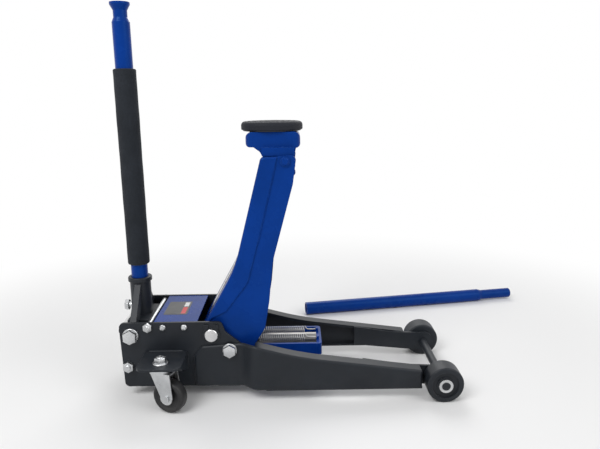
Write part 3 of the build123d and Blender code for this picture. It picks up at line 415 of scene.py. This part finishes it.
tyre_black = moulded(
    "tyre_black", colour=(0.018, 0.018, 0.020, 1), shade=(0.011, 0.011, 0.012, 1), rough=(0.42, 0.58),
    shine=0.35, scale=500.0, bump_by=0.15, edge=0.6 * mm, dust=0.25)
caster_trail, caster_r = 0.0165, 0.031
half_tread = [(4.05, 11), (9, 11), (10, 9.6), (11, 8.6), (20, 8.6), (22, 9.8), (23.5, 10.8), (26, 11),
              (28.4, 10.4), (30, 8.6), (30.7, 6), (30.9, 3), (31, 0)]
tread = in_mm(half_tread + [(r, -h) for r, h in half_tread[-2::-1]])
for side, s, turn in (("left", 1, radians(-10)), ("right", -1, radians(-20))):
    stud = Vector((caster_x, s * caster_y, caster_r))
    hub = stud + caster_trail * Vector((cos(turn), sin(turn), 0))
    wheel = bmesh.new()
    lathe(wheel, tread, hub, (-sin(turn), cos(turn), 0), 72)
    roll = piece(f"caster_roll_{side}", wheel, f"caster_wheel_{side}", "tyre", tyre_black)
    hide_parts(f"caster_wheel_{side}")

# Hydraulic unit.
# An iron casting between the plates holds the pumps, the release valve and the oil, with the
# cylinder drawn as a dark tube in front of it. It stays as cast, and oily.
cast_iron = metal(
    "cast_iron", colour=(0.17, 0.17, 0.18, 1), shade=(0.09, 0.09, 0.10, 1), rough=(0.42, 0.62),
    grain=160.0, stretch=(1, 1, 1), edge=1.2 * mm, bump_by=0.35, dust=0.4)
dress(cast_iron, "pump_block", "reservoir_tube", "cylinder_head")
dress(zinc_plate, "oil_filler_plug", "release_valve")
dress(ground_steel, "pump_barrels", "pump_plungers")
oiled_steel = metal(
    "oiled_steel", colour=(0.30, 0.29, 0.28, 1), shade=(0.17, 0.17, 0.17, 1), rough=(0.30, 0.46),
    grain=300.0, stretch=(0.05, 1, 1), edge=0.6 * mm, bump_by=0.08, dust=0.3)
dress(oiled_steel, "ram_piston")

# Springs.
# Wound from round steel wire: two push the pump plungers back, two long ones with straight
# shanks pull the yoke home. The wire is oiled and dull grey.
spring_wire = metal(
    "spring_wire", colour=(0.46, 0.46, 0.47, 1), shade=(0.30, 0.30, 0.31, 1), rough=(0.26, 0.42),
    grain=220.0, stretch=(1, 1, 1), edge=0.3 * mm, bump_by=0.05)
turn_points = 16
turn_swell = 1.019  # The curve runs a little inside its points


def wound(name, start, along, out, lead, coil_at, radius, pitch, turns, end_lead, wire):
    """Winds a wire from a straight lead into a coil and out to a straight lead, as a mesh."""
    along, out = Vector(along).normalized(), Vector(out).normalized()
    across = along.cross(out)
    points = [Vector(start) + along * run for run in lead]
    first = Vector(start) + along * coil_at
    for i in range(turn_points * turns + 1):
        angle = 2 * pi * i / turn_points
        ring = out * cos(angle) + across * sin(angle)
        points.append(first + along * (pitch * i / turn_points) + ring * radius * turn_swell)
    last = first + along * (pitch * turns)
    points += [last + along * run for run in end_lead]
    line = bpy.data.curves.new(name, "CURVE")
    line.dimensions = "3D"
    line.bevel_depth = wire / 2
    line.bevel_resolution = 3
    line.resolution_u = 2
    line.use_fill_caps = True
    spline = line.splines.new("NURBS")
    spline.points.add(len(points) - 1)
    for held, point in zip(spline.points, points):
        held.co = (*point, 1)
    spline.order_u = 3
    spline.use_endpoint_u = True
    drawn = bpy.data.objects.new(name, line)
    mesh = bpy.data.meshes.new_from_object(drawn)
    bpy.data.objects.remove(drawn)
    mesh.materials.clear()
    mesh.materials.append(spring_wire)
    mesh.shade_smooth()
    return show(name, mesh, "frame")


hook_x, coil_y, coil_z = -0.4357, 0.020, 0.091
for side, s in (("left", 1), ("right", -1)):
    rear = (hook_x, s * coil_y, coil_z)
    coil = wound(
        f"return_coil_{side}", rear, along=(1, 0, 0), out=(0, 0, 1),
        lead=(0, 30 * mm, 74 * mm, 81 * mm), coil_at=85.3 * mm, radius=5.9 * mm, pitch=4.2 * mm,
        turns=22, end_lead=(4.3 * mm, 11 * mm, 16 * mm, 21.7 * mm), wire=2.2 * mm)
    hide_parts(f"return_spring_{side}")
    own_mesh(coil)

pump_axis = Vector((0.5736, 0, -0.8192))
pump_across = Vector((0.8192, 0, 0.5736))
pump_y = 0.018
cup_reach, cup_drop, cup_deep = 20.5 * mm, 3.425 * mm, 5.0 * mm
pivot = Vector((socket_bolt[0], 0, socket_bolt[1]))
cup_top = pivot - cup_reach * pump_across + cup_drop * pump_axis
for side, s in (("left", 1), ("right", -1)):
    seat = cup_top + Vector((0, s * pump_y, 0)) + pump_axis * cup_deep
    coil = wound(
        f"plunger_coil_{side}", seat, along=pump_axis, out=(0, 1, 0), lead=(), coil_at=3.0 * mm,
        radius=13 * mm, pitch=5.8 * mm, turns=5, end_lead=(), wire=3.0 * mm)
    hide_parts(f"plunger_spring_{side}")
    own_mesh(coil)

# Yoke.
# Two slotted blue bars and a crosshead that the ram pushes, welded up as one frame.
# The arm's lug pins ride in the slots, and the return springs hook on behind the crosshead.
blue_paint = sprayed(
    "blue_paint", colour=(0.003, 0.036, 0.25, 1), shade=(0.002, 0.026, 0.18, 1),
    bare=(0.03, 0.10, 0.36, 1), rough=(0.22, 0.32), shine=0.20, tint=(0.20, 0.55, 1.0, 1),
    peel_scale=260.0, edge=1.4 * mm, dust=0.05)
dress(blue_paint, "yoke_rail_left", "yoke_rail_right", "yoke_crosshead")
yoke_seam_x, yoke_seam_out = -0.2365, 0.0375
yoke_seams = bmesh.new()
for s in (1, -1):
    low, high = (beside(s, (yoke_seam_x, z), yoke_seam_out) for z in (0.066, 0.086))
    weld(yoke_seams, low, high, 2.2 * mm)
piece("yoke_welds", yoke_seams, "yoke", "blue_paint", blue_paint)

# Lift arm.
# Two cranked side plates with a folded channel welded over them, sprayed gloss blue, on the main
# pin. Lug pins through the sides take the push of the yoke.
dress(blue_paint, "arm_side_left", "arm_side_right", "arm_top_channel", "saddle_hinge_pin")
dress(ground_steel, "lug_pins")
arm_up = radians(66)
arm_pin = Vector((-0.436, 0, 0.124))
arm_along = Vector((cos(arm_up), 0, sin(arm_up)))
arm_over = Vector((-sin(arm_up), 0, cos(arm_up)))


def on_arm(along, across, over):
    """A point of the raised arm, in millimetres from the main pin."""
    return arm_pin + arm_along * along * mm + Vector((0, across * mm, 0)) + arm_over * over * mm


arm_seam_out = 66.5
arm_seams = bmesh.new()
for s in (1, -1):
    across = s * arm_seam_out
    weld(arm_seams, on_arm(192, across, -13.3), on_arm(342, across, 13.6), 1.7 * mm)
piece("arm_welds", arm_seams, "lift_arm", "blue_paint", blue_paint)

# Arm panel.
# A printed vinyl panel on the arm's top face: charcoal, with a plain white column cut into blocks
# by red lines and two plain bars. It is stuck down and follows the knee.
vinyl_dust = (0.25, 0.24, 0.22, 1)


def vinyl(name, colour, rough):
    """Printed vinyl with a faint satin grain."""
    finish, tree, shader = new_finish(name)
    skin = use(tree, paint_skin, {"Peel scale": 900.0})
    dirt = use(tree, shop_dust, {"Amount": 0.15})
    faded = tuple(0.88 * c for c in colour[:3]) + (1,)
    ink = mixed(tree, spread(tree, skin["Mottle"], 0.0, 1.0), faded, colour)
    top = mixed(tree, dirt["Dust"], ink, vinyl_dust)
    satin = spread(tree, skin["Mottle"], rough, rough + 0.1)
    surface(tree, shader, top, satin, skin["Peel"], 0.05, 0.3 * mm)
    return finish


prints = (
    vinyl("charcoal_print", (0.020, 0.021, 0.024, 1), 0.34),
    vinyl("white_print", (0.78, 0.78, 0.77, 1), 0.38),
    vinyl("red_print", (0.56, 0.015, 0.02, 1), 0.36),
)
charcoal, white_ink, red_ink = range(3)


def patch(bm, x0, x1, y0, y1, lift, thick, corner, laid, finish):
    """A stuck-on patch with rounded corners, bent over the face that it is laid on."""
    flat = bmesh.new()
    bmesh.ops.create_grid(flat, x_segments=1, y_segments=1, size=0.5)
    for v in flat.verts:
        v.co = Vector(((x0 + x1) / 2 + v.co.x * (x1 - x0), (y0 + y1) / 2 + v.co.y * (y1 - y0), 0))
    bmesh.ops.bevel(flat, geom=flat.verts[:], offset=corner, segments=4, profile=0.5,
                    affect="VERTICES", material=-1)
    cuts = int((x1 - x0) / 8)
    for i in range(1, cuts):
        at = x0 + (x1 - x0) * i / cuts
        parts = flat.verts[:] + flat.edges[:] + flat.faces[:]
        bmesh.ops.bisect_plane(flat, geom=parts, plane_co=(at, 0, 0), plane_no=(1, 0, 0))
    top = bmesh.ops.extrude_face_region(flat, geom=flat.faces[:])
    raised = {v for v in top["geom"] if isinstance(v, bmesh.types.BMVert)}
    for v in flat.verts:
        v.co = laid(v.co.x, v.co.y, lift + (thick if v in raised else 0))
    for f in flat.faces:
        f.material_index = finish
    held = bpy.data.meshes.new("patch")
    flat.to_mesh(held)
    flat.free()
    bm.from_mesh(held)
    bpy.data.meshes.remove(held)


knee, knee_over, knee_r = 135, 8.5, 245
knee_fall, knee_rise = 14 / 151, 35 / 209.6
knee_blend = knee_r * tan((knee_fall + knee_rise) / 2)


def arm_top(along):
    """Height of the channel's top face over the line of the two pins, round its hollow knee."""
    past = along - knee
    if abs(past) >= knee_blend:
        return knee_over + max(-past * knee_fall, past * knee_rise)
    share = (past + knee_blend) / (2 * knee_blend)
    return knee_over + knee_blend * ((1 - share) ** 2 * knee_fall + share ** 2 * knee_rise)


def on_arm_top(along, across, lift):
    """A point over the arm's top face."""
    return on_arm(along, across, arm_top(along) + lift)


block_step = 27.2
on_panel = dict(lift=0.15, thick=0.18, laid=on_arm_top)
panel = bmesh.new()
patch(panel, 20, 246, -42, 42, 0.02, 0.20, 4, on_arm_top, charcoal)
for i in range(5):
    at = i * block_step
    patch(panel, 28 + at, 53 + at, -14, 20, corner=1.5, finish=white_ink, **on_panel)
for i in range(4):
    at = i * block_step
    patch(panel, 53.7 + at, 54.5 + at, -14, 20, corner=0.2, finish=red_ink, **on_panel)
patch(panel, 176, 202, -34, 34, corner=2, finish=red_ink, **on_panel)
patch(panel, 206, 236, -34, 34, corner=8, finish=white_ink, **on_panel)
piece("arm_panel", panel, "lift_arm", "blue_paint", *prints)

# Cover plate.
# A blue sheet over the pump, on two tapped bars that the side screws hold.
# It carries a small printed panel of plain blocks.
dress(blue_paint, "cover_plate")
dress(black_coat, "cover_bars")
cover_top = 149


def on_cover(x, y, lift):
    """A point over the cover's top face."""
    return Vector((x * mm, y * mm, (cover_top + lift) * mm))


on_label = dict(lift=0.12, thick=0.16, laid=on_cover)
cover_panel = bmesh.new()
patch(cover_panel, -535, -489, -36, 36, 0.02, 0.18, 3, on_cover, charcoal)
patch(cover_panel, -531, -505, -31, 12, corner=1.5, finish=charcoal, **on_label)
patch(cover_panel, -502, -493, -31, 4, corner=1, finish=red_ink, **on_label)
patch(cover_panel, -502, -493, 8, 31, corner=1, finish=white_ink, **on_label)
piece("cover_panel", cover_panel, "frame", "blue_paint", *prints)

# Leveling bars and saddle.
# Flat bars inside the arm keep the cast bracket level as the arm swings. The dish turns in the
# bracket, and a black rubber pad with moulded rings lies in it.
dress(blue_paint, "saddle_bracket")
dress(black_coat, "leveling_bars")
dish_steel = metal(
    "dish_steel", colour=(0.055, 0.055, 0.06, 1), shade=(0.03, 0.03, 0.034, 1), rough=(0.40, 0.55),
    grain=240.0, stretch=(1, 1, 1), edge=0.8 * mm, bump_by=0.18, dust=0.05)
dress(dish_steel, "saddle_dish")
pad_rubber = moulded(
    "pad_rubber", colour=(0.014, 0.016, 0.022, 1), shade=(0.009, 0.010, 0.014, 1), rough=(0.58, 0.76),
    shine=0.22, scale=420.0, bump_by=0.3, edge=0.7 * mm, dust=0.10)
dress(pad_rubber, "saddle_pad")

# Handle socket and pump roller.
# A black welded yoke swings on its two bolts and takes the handle in a thick-rimmed tube.
# A bright three-part roller on a cross pin presses the pump plungers, and a bolt clamps the handle.
dress(black_coat, "handle_socket", "release_coupler")
roller_steel = metal(
    "roller_steel", colour=(0.70, 0.70, 0.70, 1), shade=(0.58, 0.58, 0.58, 1), rough=(0.14, 0.26),
    grain=400.0, stretch=(0.05, 1, 0.05), edge=0.6 * mm, bump_by=0.05)
dress(roller_steel, "pump_roller", "roller_pin")
socket_seam_z, socket_seam_out = 0.2075, 0.0205
socket_seams = bmesh.new()
for s in (1, -1):
    rear, front = (beside(s, (x, socket_seam_z), socket_seam_out) for x in (-0.5905, -0.5775))
    weld(socket_seams, rear, front, 2.2 * mm)
piece("socket_welds", socket_seams, "socket", "black_paint", black_coat)
clamp_x, clamp_z = -0.609, 0.1584
clamp_shank = in_mm([(0, 0), (6, 0), (6, 12), (0, 12)])
clamp = bmesh.new()
hexagon(clamp, (clamp_x, 0, clamp_z), (-1, 0, 0), 19 * mm, 8 * mm, 1.4 * mm)
lathe(clamp, clamp_shank, (clamp_x - 3 * mm, 0, clamp_z), (1, 0, 0), 28)
clamp_bolt = piece("clamp_bolt", clamp, "socket", "zinc", zinc_plate, sharp=28)
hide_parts("handle_clamp_bolt")

# Handle tubes.
# Blue sprayed steel tube in two lengths: the upper one stands in the socket with its end necked
# and flared, the extension with its swaged spigot lies on the floor.
dress(blue_paint, "handle_tube", "handle_extension")

# Foam grip.
# A sleeve of closed-cell foam pushed over the upper tube, dark and matt, with cut ends and
# shallow waves where it was stretched on.
foam_dust = (0.16, 0.15, 0.14, 1)
# Painted shade: the foam's pores are coloured darker towards their middles, standing in for the shade
# inside the pits. The rim colour is the foam's own colour.
painted_pore_shade, rim, faded = (0.009, 0.011, 0.014, 1), (0.019, 0.023, 0.030, 1), (0.011, 0.013, 0.016, 1)
foam, tree, shader = new_finish("foam")
place = own_space(tree)
pores = put(tree, "TexVoronoi", {"Vector": place, "Scale": 620.0}).outputs["Distance"]
cloud = noise(tree, place, 30.0, 6.0)
dirt = use(tree, shop_dust, {"Amount": 0.1})
# skin lays the painted pore shade over the foam's own colour.
skin = mixed(tree, ramp(tree, pores, 0.1, 0.6), painted_pore_shade, rim)
shaded = mixed(tree, spread(tree, cloud, 0.0, 0.5), skin, faded)
top = mixed(tree, dirt["Dust"], shaded, foam_dust)
surface(tree, shader, top, spread(tree, cloud, 0.82, 0.95), pores, 0.5, 0.6 * mm)
shader.inputs["Sheen Weight"].default_value = 0.05
shader.inputs["Specular IOR Level"].default_value = 0.2

handle_x = -0.584
sleeve = bmesh.new()
low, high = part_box("foam_grip")
run = high.z - low.z
cut_end = in_mm([(16, 0), (18.6, 0.3), (20.2, 1.3), (20.8, 3.2)])
grip_r, wave_r, rings = 20.75 * mm, 0.22 * mm, 60
outline = cut_end[:]
for i in range(1, rings):
    at = i / rings
    swell = wave_r * sin(31 * at) * sin(13 * at + 1)
    outline.append((grip_r + swell, 4 * mm + (run - 8 * mm) * at))
outline += [(r, run - h) for r, h in cut_end[::-1]]
lathe(sleeve, outline, (handle_x, 0, low.z), upward, 56)
grip = piece("grip_sleeve", sleeve, "handle", "foam", foam)
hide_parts("foam_grip")

# Studio.
# A pale floor that fades to white, one large soft lamp over each shoulder, one behind, and a
# plain white room.
bpy.context.scene.view_settings.view_transform = "Standard"
floor_mesh = bmesh.new()
bmesh.ops.create_circle(floor_mesh, cap_ends=True, segments=64, radius=12)
held = bpy.data.meshes.new("floor")
floor_mesh.to_mesh(held)
floor_mesh.free()
floor = bpy.data.objects.new("floor", held)
bpy.context.collection.objects.link(floor)
pale, tree, shader = new_finish("pale_floor")
shader.inputs["Base Color"].default_value = (0.86, 0.86, 0.86, 1)
shader.inputs["Roughness"].default_value = 0.7
white = put(tree, "Emission", {"Color": (1, 1, 1, 1), "Strength": 1.0})
about = put(tree, "Mapping", {"Vector": own_space(tree), "Location": (0.28, -0.05, 0)})
away = put(tree, "VectorMath", {0: about.outputs[0]}, operation="LENGTH")
fade = put(tree, "MapRange", {0: away.outputs["Value"], 1: 0.55, 2: 1.25, 3: 0.0, 4: 1.0},
           interpolation_type="SMOOTHSTEP")
joined = put(tree, "MixShader", {0: fade.outputs[0], 1: shader.outputs[0], 2: white.outputs[0]})
tree.links.new(joined.outputs[0], tree.nodes["Material Output"].inputs["Surface"])
held.materials.append(pale)

room_level = 0.36
room = bpy.data.worlds.new("room")
room.use_nodes = True
bpy.context.scene.world = room
tree = room.node_tree
seen = put(tree, "LightPath", {}).outputs
either = combine(tree, "MAXIMUM", seen["Is Camera Ray"], seen["Is Glossy Ray"])
any_of = combine(tree, "MAXIMUM", either, seen["Is Transmission Ray"])
strength = ramp(tree, any_of, 0.0, 1.0, room_level, 1.0)
tree.links.new(strength, tree.nodes["Background"].inputs["Strength"])
tree.nodes["Background"].inputs["Color"].default_value = (1, 1, 1, 1)


def lamp(name, at, aim, size, power):
    """A soft square lamp."""
    light = bpy.data.lights.new(name, "AREA")
    light.size = size
    light.energy = power
    made = bpy.data.objects.new(name, light)
    made.location = at
    made.rotation_euler = (Vector(aim) - Vector(at)).to_track_quat("-Z", "Y").to_euler()
    bpy.context.collection.objects.link(made)


lamp("key_lamp", at=(-1.3, -1.3, 1.9), aim=(-0.3, 0, 0.2), size=1.2, power=30)
lamp("fill_lamp", at=(1.2, -1.0, 1.5), aim=(-0.3, 0, 0.2), size=1.4, power=14)
lamp("back_lamp", at=(-0.2, 1.5, 1.6), aim=(-0.3, 0, 0.3), size=1.2, power=14)

camera = bpy.data.cameras.new("camera")
camera.sensor_width = 36
camera.lens = 34.4
eye = bpy.data.objects.new("camera", camera)
eye.location = (-0.275, -1.090, 0.561)
aim = Vector((-0.265, 0.10, 0.295)) - Vector(eye.location)
tilt = Matrix.Rotation(radians(-0.7), 3, "Z")
eye.rotation_euler = (aim.to_track_quat("-Z", "Y").to_matrix() @ tilt).to_euler()
bpy.context.collection.objects.link(eye)
bpy.context.scene.camera = eye
